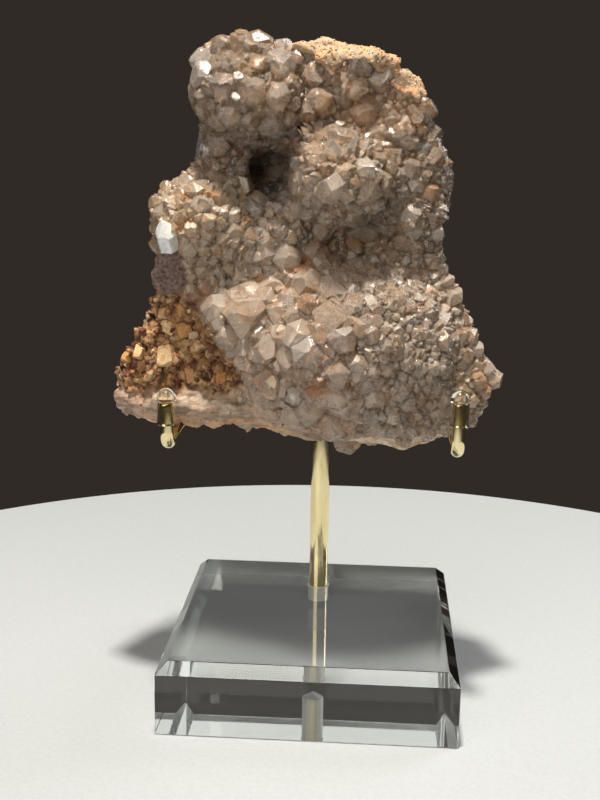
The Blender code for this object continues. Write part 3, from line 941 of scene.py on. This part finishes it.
def scatter_chunks(rock, raw, rim, band):
    """Blocks and grains of broken matrix on the bare corner, the rim and the band."""
    rng = np.random.default_rng(SEED + 1)
    shapes = [chunk_template(rng) for _ in range(14)]
    heap = Heap()
    right, up, forward = (np.array(a) for a in camera_axes())
    tree = surface_tree(rock.data)

    def drop(place, axis, size, tint, sunk):
        points, triangles = shapes[rng.integers(len(shapes))]
        turn = upright_frame(axis, rng.uniform(-0.4, 0.4))
        local = points * size / MM
        world = np.asarray(place) + (points * size) @ turn.T - sunk * size[2] * turn[:, 2]
        if not touches_holder(world):
            heap.add(world, triangles, local, rng.uniform(0, 90), points[:, 2] + 0.5, tint, 0.0)

    for (px, py), size, tilt_right, tilt_up, tint in BLOCKS:
        hit, normal, _, _ = tree.ray_cast(CAMERA_AT, photo_ray(px, py))
        if hit is None:
            continue
        axis = np.array(normal) * 0.4 - forward * 0.6 + tilt_right * right + tilt_up * up
        drop(hit, axis, np.array((size[1], size[0], size[2])) * MM, CHUNK_TINTS[tint], 0.22)
    for mask, count, (low, high), names in (
        (raw, 420, (0.6, 2.0), ("clay", "clay", "ochre", "straw", "umber", "umber", "wine")),
        (rim, 460, (0.3, 0.85), ("straw", "chalk", "chalk", "ochre", "ochre")),
        (band, 140, (0.3, 0.9), ("chalk", "clay", "umber", "ochre")),
    ):
        places, facing = sample_surface(rng, rock.data, np.clip(mask - 0.3, 0, 1), count)
        for place, axis in zip(places, facing):
            size = rng.uniform(low, high) * rng.uniform(0.6, 1.3, 3) * MM
            tint = np.array(CHUNK_TINTS[names[rng.integers(len(names))]]) * rng.uniform(0.75, 1.1)
            drop(place, axis + 0.6 * rng.normal(size=3), size, tint, 0.25)
    heap.build("matrix_grains", chunk_material())


# ---------------------------------------------------------------- materials


class Nodes:
    """A material's node tree, with short calls for the nodes used here."""

    def __init__(self, name):
        self.material = bpy.data.materials.new(name)
        self.material.use_nodes = True
        self.tree = self.material.node_tree
        self.shader = self.tree.nodes["Principled BSDF"]

    def make(self, kind, inputs=None, **settings):
        node = self.tree.nodes.new(kind)
        for key, value in settings.items():
            setattr(node, key, value)
        for key, value in (inputs or {}).items():
            self.feed(node.inputs[key], value)
        return node

    def feed(self, socket, value):
        if isinstance(value, bpy.types.NodeSocket):
            self.tree.links.new(value, socket)
        elif isinstance(value, tuple) and len(value) == 3 and socket.type == "RGBA":
            socket.default_value = (*value, 1.0)
        else:
            socket.default_value = value

    def put(self, name, value):
        self.feed(self.shader.inputs[name], value)

    def place(self):
        return self.make("ShaderNodeNewGeometry").outputs["Position"]

    def number(self, name):
        return self.make("ShaderNodeAttribute", attribute_name=name).outputs["Fac"]

    def vector(self, name):
        return self.make("ShaderNodeAttribute", attribute_name=name).outputs["Vector"]

    def colour(self, name):
        return self.make("ShaderNodeAttribute", attribute_name=name).outputs["Color"]

    def noise(self, vector, scale, detail=3.0, rough=0.6, distort=0.0):
        inputs = {"Vector": vector, "Scale": scale, "Detail": detail, "Roughness": rough, "Distortion": distort}
        return self.make("ShaderNodeTexNoise", inputs).outputs["Fac"]

    def cells(self, vector, scale, feature="F1", output="Distance"):
        return self.make("ShaderNodeTexVoronoi", {"Vector": vector, "Scale": scale}, feature=feature).outputs[output]

    def math(self, operation, a, b=0.0, clamp=False):
        return self.make("ShaderNodeMath", {0: a, 1: b}, operation=operation, use_clamp=clamp).outputs[0]

    def shifted(self, vector, by):
        return self.make("ShaderNodeVectorMath", {0: vector, 1: by}, operation="ADD").outputs[0]

    def unit(self, vector):
        return self.make("ShaderNodeVectorMath", {0: vector}, operation="NORMALIZE").outputs[0]

    def length(self, vector):
        return self.make("ShaderNodeVectorMath", {0: vector}, operation="LENGTH").outputs["Value"]

    def scaled(self, vector, factors):
        return self.make("ShaderNodeVectorMath", {0: vector, 1: factors}, operation="MULTIPLY").outputs[0]

    def ramp(self, value, low, high, to_low=0.0, to_high=1.0):
        inputs = {"Value": value, "From Min": low, "From Max": high, "To Min": to_low, "To Max": to_high}
        return self.make("ShaderNodeMapRange", inputs).outputs["Result"]

    def mix(self, factor, a, b, blend="MIX"):
        node = self.make("ShaderNodeMix", data_type="RGBA", blend_type=blend)
        self.feed(node.inputs[0], factor)
        self.feed(node.inputs[6], a)
        self.feed(node.inputs[7], b)
        return node.outputs[2]

    def bump(self, height, strength, distance, normal=None):
        inputs = {"Height": height, "Strength": strength, "Distance": distance}
        if normal is not None:
            inputs["Normal"] = normal
        return self.make("ShaderNodeBump", inputs).outputs["Normal"]


def quartz_material(name, see_through):
    """Translucent druse quartz: veiled body, rays of brown needles round each axis, iron stain at the roots that
    doubles as painted shade between crystals, and painted highlights and shade on the facets.
    """
    n = Nodes("druse_quartz_" + name)
    centred = n.vector("local")
    seed = n.number("seed")
    local = n.shifted(centred, seed)
    place = n.place()
    tip = n.number("tip")
    tint = n.colour("tint")
    stain = n.number("stain")
    cloud = n.noise(place, 260.0, 3.0, 0.6)
    veil = n.noise(local, 0.9, 5.0, 0.75, 0.7)
    body = n.mix(n.ramp(cloud, 0.38, 0.62, 0.0, 0.8), tint, n.mix(1.0, tint, (0.76, 0.68, 0.61), "MULTIPLY"))
    body = n.mix(n.ramp(veil, 0.42, 0.34, 0.0, 0.7), body, n.mix(1.0, tint, (0.60, 0.47, 0.36), "MULTIPLY"))
    body = n.mix(n.ramp(veil, 0.52, 0.66, 0.0, 0.7), body, (0.93, 0.86, 0.76))
    # Painted highlights and painted shade: each facet is made paler or darker by the way it faces
    facing = n.make("ShaderNodeNewGeometry").outputs["True Normal"]
    painted_facet_light = n.noise(n.shifted(n.scaled(facing, (1.7, 1.7, 1.7)), seed), 1.0, 1.0, 0.5)
    body = n.mix(n.ramp(painted_facet_light, 0.54, 0.68, 0.0, 0.50), body, (0.96, 0.91, 0.84))
    body = n.mix(n.ramp(painted_facet_light, 0.46, 0.34, 0.0, 0.60), body, n.mix(1.0, tint, (0.66, 0.47, 0.32), "MULTIPLY"))
    bent = n.shifted(local, n.scaled(n.make("ShaderNodeTexNoise", {"Vector": local, "Scale": 0.7}).outputs["Color"], (1.6, 1.6, 1.6)))
    flaw = n.ramp(n.cells(bent, 0.55, "DISTANCE_TO_EDGE"), 0.045, 0.0)
    body = n.mix(n.math("MULTIPLY", flaw, n.ramp(veil, 0.40, 0.58, 0.0, 0.7), True), body, (0.97, 0.93, 0.87))
    sideways = n.scaled(centred, (1.0, 1.0, 0.0))
    rays = n.noise(n.shifted(n.scaled(n.unit(sideways), (4.0, 4.0, 0.0)), seed), 1.6, 2.0, 0.55)
    out = n.length(sideways)
    patch = n.ramp(n.noise(place, 110.0, 3.0, 0.6), 0.42, 0.58)
    orange = n.math("MULTIPLY", n.ramp(n.noise(place, 130.0, 2.0, 0.5), 0.58, 0.66), n.ramp(stain, 0.2, 0.8), True)
    body = n.mix(orange, body, n.mix(1.0, tint, (0.95, 0.58, 0.28), "MULTIPLY"))
    amount = n.math("MULTIPLY", patch, n.ramp(out, 0.8, 2.0), True)
    amount = n.math("MULTIPLY", amount, n.ramp(stain, 0.0, 0.7, 0.1, 1.0), True)
    streak = n.math("MULTIPLY", n.ramp(rays, 0.55, 0.61), amount, True)
    pale_ray = n.math("MULTIPLY", n.ramp(rays, 0.43, 0.38), n.ramp(out, 0.4, 1.4, 0.0, 0.45), True)
    body = n.mix(pale_ray, body, (0.95, 0.89, 0.81))
    # Iron stain at the crystals' roots, laid on heavier than the stain alone as painted shade in the gaps between
    # crystals
    root = n.math("MULTIPLY", n.ramp(tip, 0.78, 0.56), n.ramp(stain, 0.0, 0.6, 0.20, 0.78), True)
    root = n.math("MULTIPLY", root, n.ramp(n.noise(place, 330.0, 3.0, 0.6), 0.42, 0.56), True)
    rust = n.mix(n.ramp(cloud, 0.4, 0.6), (0.36, 0.17, 0.06), (0.64, 0.40, 0.18))
    body = n.mix(n.math("MAXIMUM", streak, root), body, rust)
    seam = n.ramp(n.cells(n.shifted(bent, (7.0, 3.0, 5.0)), 0.42, "DISTANCE_TO_EDGE"), 0.060, 0.015)
    seam = n.math("MULTIPLY", seam, n.ramp(n.noise(place, 210.0, 2.0, 0.5), 0.50, 0.60), True)
    seam = n.math("MULTIPLY", seam, n.ramp(stain, 0.1, 0.7, 0.25, 0.9), True)
    body = n.mix(seam, body, (0.50, 0.26, 0.09))
    n.put("Base Color", n.mix(0.15, body, (1.0, 0.88, 0.74)))
    n.put("Roughness", n.ramp(n.noise(local, 0.5, 3.0), 0.35, 0.7, 0.06, 0.30))
    n.put("IOR", 1.544)
    n.put("Transmission Weight", see_through)
    steps = n.noise(n.scaled(local, (0.5, 0.5, 2.0)), 1.2, 5.0, 0.68)
    n.put("Normal", n.bump(n.math("ADD", steps, n.math("MULTIPLY", rays, 0.5)), 0.45, 0.00030))
    return n.material


def white_quartz_material():
    n = Nodes("milk_quartz")
    local = n.shifted(n.vector("local"), n.number("seed"))
    veil = n.noise(local, 0.8, 4.0, 0.65, 0.5)
    n.put("Base Color", n.mix(n.ramp(veil, 0.35, 0.65), (0.60, 0.61, 0.61), (0.84, 0.85, 0.85)))
    n.put("Roughness", n.ramp(veil, 0.3, 0.7, 0.12, 0.34))
    n.put("Subsurface Weight", 0.35)
    n.put("Subsurface Scale", 0.0012)
    n.put("Normal", n.bump(n.noise(local, 1.2, 3.0, 0.6), 0.3, 0.0002))
    return n.material


def clear_quartz_material():
    n = Nodes("clear_quartz")
    local = n.shifted(n.vector("local"), n.number("seed"))
    veil = n.noise(local, 0.7, 4.0, 0.7, 1.2)
    n.put("Base Color", n.mix(n.ramp(veil, 0.50, 0.66), (0.93, 0.92, 0.90), (0.99, 0.98, 0.97)))
    n.put("Roughness", n.ramp(n.noise(local, 0.5, 3.0), 0.35, 0.7, 0.02, 0.22))
    n.put("IOR", 1.544)
    n.put("Transmission Weight", 0.86)
    n.put("Normal", n.bump(n.noise(local, 1.2, 3.0, 0.6), 0.4, 0.0002))
    return n.material


def rock_material():
    n = Nodes("rock_matrix")
    place = n.place()
    grain = n.noise(place, 900.0, 4.0, 0.65)
    middle = n.noise(place, 240.0, 4.0, 0.6)
    broad = n.noise(place, 70.0, 3.0, 0.55)
    cell = n.cells(place, 420.0)
    tan = n.mix(n.ramp(middle, 0.35, 0.65), (0.36, 0.235, 0.13), (0.50, 0.37, 0.24))
    brown = n.mix(n.ramp(grain, 0.35, 0.65), (0.10, 0.042, 0.018), (0.27, 0.125, 0.045))
    orange = (0.50, 0.235, 0.075)
    cream = n.mix(n.ramp(grain, 0.3, 0.7), (0.275, 0.186, 0.107), (0.425, 0.33, 0.225))
    back = n.mix(n.ramp(broad, 0.42, 0.60), tan, n.mix(n.ramp(grain, 0.3, 0.7), (0.24, 0.19, 0.15), (0.36, 0.29, 0.23)))
    back = n.mix(n.ramp(n.noise(place, 150.0, 4.0, 0.7), 0.55, 0.68, 0.0, 0.8), back, brown)
    # The ground under the crystals is paler as painted light, lifting the shade in the gaps between them
    druse = n.mix(n.ramp(middle, 0.38, 0.60), (0.44, 0.29, 0.17), (0.80, 0.66, 0.51))
    raw = n.mix(n.ramp(middle, 0.40, 0.60), brown, (0.46, 0.26, 0.11))
    raw = n.mix(n.ramp(n.number("lump"), 0.25, 0.75, 0.0, 0.8), raw, n.mix(n.ramp(grain, 0.35, 0.65), (0.42, 0.26, 0.12), (0.60, 0.42, 0.23)))
    raw = n.mix(n.ramp(n.noise(place, 150.0, 3.0, 0.6), 0.54, 0.62, 0.0, 0.9), raw, (0.16, 0.045, 0.02))
    raw = n.mix(n.math("MULTIPLY", n.number("crack"), 0.8), raw, (0.07, 0.03, 0.014))
    rim = n.mix(n.ramp(broad, 0.40, 0.58), cream, n.mix(n.ramp(grain, 0.35, 0.65), (0.38, 0.27, 0.182), (0.61, 0.47, 0.342)))
    rim = n.mix(n.ramp(middle, 0.49, 0.60, 0.0, 0.8), rim, (0.60, 0.32, 0.14))
    rim = n.mix(n.ramp(cell, 0.10, 0.04, 0.0, 0.7), rim, (0.12, 0.06, 0.03))
    streaks = n.noise(n.scaled(place, (0.4, 1.0, 2.2)), 330.0, 4.0, 0.6)
    band = n.mix(n.ramp(streaks, 0.38, 0.64), (0.20, 0.13, 0.088), (0.51, 0.365, 0.258))
    band = n.mix(n.ramp(middle, 0.52, 0.66, 0.0, 0.7), band, (0.52, 0.43, 0.32))
    band = n.mix(n.ramp(grain, 0.58, 0.70, 0.0, 0.8), band, (0.34, 0.18, 0.09))
    under = n.mix(n.ramp(middle, 0.4, 0.62), (0.66, 0.36, 0.16), (0.62, 0.44, 0.28))
    colour = n.mix(n.number("druse"), back, druse)
    colour = n.mix(n.number("band"), colour, band)
    colour = n.mix(n.number("under"), colour, under)
    colour = n.mix(n.number("rim"), colour, rim)
    lilac = n.mix(n.ramp(grain, 0.4, 0.6), (0.095, 0.06, 0.05), (0.25, 0.175, 0.15))
    colour = n.mix(n.number("dark_lump"), colour, lilac)
    colour = n.mix(n.number("raw"), colour, raw)
    n.put("Base Color", colour)
    n.put("Roughness", n.mix(n.number("band"), (0.85, 0.85, 0.85), (0.42, 0.42, 0.42)))
    rough = n.math("ADD", n.math("MULTIPLY", grain, 0.6), n.math("MULTIPLY", middle, 0.8))
    n.put("Normal", n.bump(rough, 0.8, 0.0006))
    return n.material


def chunk_material():
    n = Nodes("matrix_chunk")
    place = n.place()
    tint = n.colour("tint")
    grain = n.noise(place, 1400.0, 4.0, 0.65)
    blotch = n.noise(place, 420.0, 3.0, 0.6)
    colour = n.mix(n.ramp(grain, 0.35, 0.65), n.mix(1.0, tint, (0.66, 0.58, 0.50), "MULTIPLY"), tint)
    colour = n.mix(n.ramp(blotch, 0.52, 0.64, 0.0, 0.8), colour, n.mix(1.0, tint, (0.75, 0.45, 0.26), "MULTIPLY"))
    n.put("Base Color", colour)
    n.put("Roughness", n.ramp(grain, 0.3, 0.7, 0.65, 0.95))
    n.put("Normal", n.bump(grain, 0.7, 0.0003))
    return n.material


def brass_material():
    n = Nodes("polished_brass_rod")
    place = n.place()
    haze = n.noise(n.scaled(place, (1.0, 1.0, 0.25)), 500.0, 4.0, 0.6)
    n.put("Base Color", n.mix(n.ramp(haze, 0.35, 0.65), (0.88, 0.77, 0.46), (0.82, 0.69, 0.37)))
    n.put("Metallic", 1.0)
    n.put("Roughness", n.ramp(haze, 0.3, 0.7, 0.07, 0.17))
    lines = n.noise(n.scaled(place, (1.0, 1.0, 0.05)), 2600.0, 2.0, 0.5)
    n.put("Normal", n.bump(lines, 0.10, 0.00002))
    return n.material


def acrylic_material():
    n = Nodes("clear_acrylic_block")
    place = n.place()
    n.put("Base Color", (0.985, 0.99, 0.985))
    scuffs = n.noise(n.scaled(place, (1.0, 3.0, 1.0)), 120.0, 5.0, 0.7)
    n.put("Roughness", n.ramp(scuffs, 0.5, 0.75, 0.0, 0.08))
    n.put("IOR", 1.49)
    n.put("Transmission Weight", 1.0)
    absorb = n.make("ShaderNodeVolumeAbsorption", {"Color": (0.86, 0.90, 0.89), "Density": 9.0})
    n.tree.links.new(absorb.outputs["Volume"], n.tree.nodes["Material Output"].inputs["Volume"])
    return n.material


def frosted_material():
    n = Nodes("frosted_socket_wall")
    place = n.place()
    rings = n.noise(n.scaled(place, (0.3, 0.3, 3.0)), 900.0, 3.0, 0.6)
    n.put("Base Color", n.mix(n.ramp(rings, 0.3, 0.7), (0.80, 0.80, 0.78), (0.92, 0.92, 0.90)))
    n.put("Roughness", n.ramp(rings, 0.3, 0.7, 0.5, 0.75))
    n.put("IOR", 1.49)
    n.put("Transmission Weight", 0.6)
    n.put("Normal", n.bump(rings, 0.5, 0.0001))
    return n.material


def cap_material():
    n = Nodes("clear_soft_cap")
    place = n.place()
    n.put("Base Color", (0.93, 0.90, 0.78))
    n.put("Roughness", n.ramp(n.noise(place, 700.0, 3.0), 0.35, 0.7, 0.04, 0.14))
    n.put("IOR", 1.46)
    n.put("Transmission Weight", 1.0)
    return n.material


def floor_material():
    n = Nodes("pale_floor")
    speck = n.noise(n.place(), 700.0, 3.0, 0.6)
    n.put("Base Color", n.mix(n.ramp(speck, 0.35, 0.65), (0.43, 0.46, 0.48), (0.46, 0.49, 0.51)))
    n.put("Roughness", 0.6)
    return n.material


# ---------------------------------------------------------------- holder


def turned(name, profile, sides, place, sharp=40.0):
    """A closed turned solid about a vertical axis. The profile is (radius, z) from top to bottom."""
    bm = bmesh.new()
    rings = []
    for radius, z in profile:
        if radius == 0.0:
            rings.append([bm.verts.new((place[0], place[1], z))])
            continue
        steps = [2 * math.pi * i / sides for i in range(sides)]
        rings.append([bm.verts.new((place[0] + radius * math.cos(a), place[1] + radius * math.sin(a), z)) for a in steps])
    for upper, lower in zip(rings, rings[1:]):
        for i in range(sides):
            corners = [upper[i % len(upper)], upper[(i + 1) % len(upper)]]
            corners += [lower[(i + 1) % len(lower)], lower[i % len(lower)]]
            bm.faces.new(list(dict.fromkeys(corners)))
    bmesh.ops.recalc_face_normals(bm, faces=bm.faces)
    obj = link_mesh(name, bm)
    obj.data.shade_smooth()
    obj.data.set_sharp_from_angle(angle=math.radians(sharp))
    return obj


def arc(centre, radius, start_deg, end_deg, steps):
    angles = [math.radians(start_deg + (end_deg - start_deg) * i / steps) for i in range(steps + 1)]
    return [(centre[0] + radius * math.cos(a), centre[1] + radius * math.sin(a)) for a in angles]


def make_block():
    half = BLOCK_SIDE / 2
    bm = bmesh.new()
    levels = ((half, 0.0), (half, BLOCK_HEIGHT - BLOCK_BEVEL), (half - BLOCK_BEVEL, BLOCK_HEIGHT))
    rings = []
    for reach, z in levels:
        corners = ((-reach, -reach), (reach, -reach), (reach, reach), (-reach, reach))
        rings.append([bm.verts.new((x, y, z)) for x, y in corners])
    for lower, upper in zip(rings, rings[1:]):
        for i in range(4):
            bm.faces.new((lower[i], lower[(i + 1) % 4], upper[(i + 1) % 4], upper[i]))
    bm.faces.new(rings[0])
    bm.faces.new(rings[-1])
    bmesh.ops.recalc_face_normals(bm, faces=bm.faces)
    bmesh.ops.bevel(bm, geom=list(bm.edges), offset=0.18 * MM, segments=2, profile=0.5, affect="EDGES")
    block = link_mesh("block", bm)
    block.data.materials.append(acrylic_material())
    floor_z = BLOCK_HEIGHT - SOCKET_DEPTH
    point = SOCKET_RADIUS / math.tan(math.radians(59))
    above = BLOCK_HEIGHT + 5 * MM
    lip = 0.25 * MM
    profile = [
        (0.0, above), (SOCKET_RADIUS + lip, above), (SOCKET_RADIUS + lip, BLOCK_HEIGHT),
        (SOCKET_RADIUS, BLOCK_HEIGHT - lip), (SOCKET_RADIUS, floor_z), (0.0, floor_z - point),
    ]
    drill = turned("drill", profile, 64, (0.0, POST_Y))
    drill.data.materials.append(frosted_material())
    cut = block.modifiers.new("socket", "BOOLEAN")
    cut.operation = "DIFFERENCE"
    cut.object = drill
    cut.material_mode = "TRANSFER"
    replace_mesh(block, evaluated_mesh(block))
    bpy.data.objects.remove(drill, do_unlink=True)
    block.data.set_sharp_from_angle(angle=math.radians(30))
    for face in block.data.polygons:
        face.use_smooth = face.material_index == 1
    attach(block, "acrylic_base")


def make_post(material):
    chamfer = 0.3 * MM
    foot = BLOCK_HEIGHT - SOCKET_DEPTH + 0.3 * MM
    tip = arc((POST_RADIUS - 1.2 * MM, POST_TOP - 1.2 * MM), 1.2 * MM, 90, 0, 8)
    profile = [(0.0, POST_TOP)] + tip + [(POST_RADIUS, foot + chamfer), (POST_RADIUS - chamfer, foot), (0.0, foot)]
    post = turned("brass_post", profile, 64, (0.0, POST_Y))
    post.data.materials.append(material)
    attach(post, "post")


def bend(corner, before, after, radius, steps=12):
    inward = (before - corner).normalized()
    outward = (after - corner).normalized()
    centre = corner + radius * (inward + outward)
    turns = [math.pi / 2 * i / steps for i in range(steps + 1)]
    return [centre - radius * (math.sin(a) * inward + math.cos(a) * outward) for a in turns]


def make_arm(side, material):
    arm = ARMS[side]
    x = arm["x"]
    start = Vector((math.copysign(0.25 * MM, x), POST_Y, ARM_HEIGHT))
    behind = Vector((x, POST_Y, ARM_HEIGHT))
    front = Vector((x, FINGER_Y, ARM_HEIGHT))
    end = Vector((x, FINGER_Y, arm["tip"]))
    path = [start] + bend(behind, start, front, CORNER_BEND) + bend(front, behind, end, FINGER_BEND)
    rounding = 0.5 * MM
    radii = [ROD_RADIUS] * len(path)
    for lift, radius in ((2.0 * rounding, ROD_RADIUS), (rounding, ROD_RADIUS), (0.6 * rounding, ROD_RADIUS - 0.08 * rounding),
                         (0.25 * rounding, ROD_RADIUS - 0.4 * rounding), (0.0, ROD_RADIUS - rounding)):
        path.append(end - Vector((0, 0, lift)))
        radii.append(radius)
    sides = 40
    bm = bmesh.new()
    directions = [(b - a).normalized() for a, b in zip(path, path[1:])]
    frame_x = Vector((0.0, 0.0, 1.0))
    rings = []
    for i, point in enumerate(path):
        along = (directions[max(i - 1, 0)] + directions[min(i, len(directions) - 1)]).normalized()
        frame_x = (frame_x - frame_x.dot(along) * along).normalized()
        frame_y = along.cross(frame_x)
        ring = []
        for j in range(sides):
            angle = 2 * math.pi * j / sides
            ring.append(bm.verts.new(point + radii[i] * (math.cos(angle) * frame_x + math.sin(angle) * frame_y)))
        rings.append(ring)
    for near, far in zip(rings, rings[1:]):
        for j in range(sides):
            bm.faces.new((near[j], near[(j + 1) % sides], far[(j + 1) % sides], far[j]))
    bm.faces.new(rings[0])
    bm.faces.new(rings[-1])
    bmesh.ops.recalc_face_normals(bm, faces=bm.faces)
    obj = link_mesh("brass_" + side + "_arm", bm)
    obj.data.shade_smooth()
    obj.data.set_sharp_from_angle(angle=math.radians(50))
    obj.data.materials.append(material)
    attach(obj, side + "_arm")


def make_cap(side, material):
    arm = ARMS[side]
    bottom, top = arm["sleeve"]
    inner = ROD_RADIUS + 0.12 * MM
    lip = 0.25 * MM
    roof = top - SLEEVE_RADIUS - 1.0 * MM
    roof = max(arm["tip"] + 0.12 * MM, roof)
    dome = arc((0.0, top - SLEEVE_RADIUS), SLEEVE_RADIUS, 90, 0, 16)[1:]
    profile = [(0.0, top)] + dome + [(SLEEVE_RADIUS, bottom + lip), (SLEEVE_RADIUS - lip, bottom), (inner, bottom)]
    profile += [(inner, roof - lip), (inner - lip, roof), (0.0, roof)]
    cap = turned("soft_cap_" + side, profile, 56, (arm["x"], FINGER_Y))
    cap.data.materials.append(material)
    attach(cap, side + "_sleeve")


def main():
    add_camera()
    add_light()
    add_floor()
    rock, druse, raw, rim, band = make_rock()
    grow_crystals(rock, druse)
    scatter_chunks(rock, raw, rim, band)
    make_block()
    brass = brass_material()
    make_post(brass)
    cap = cap_material()
    for side in ARMS:
        make_arm(side, brass)
        make_cap(side, cap)


main()
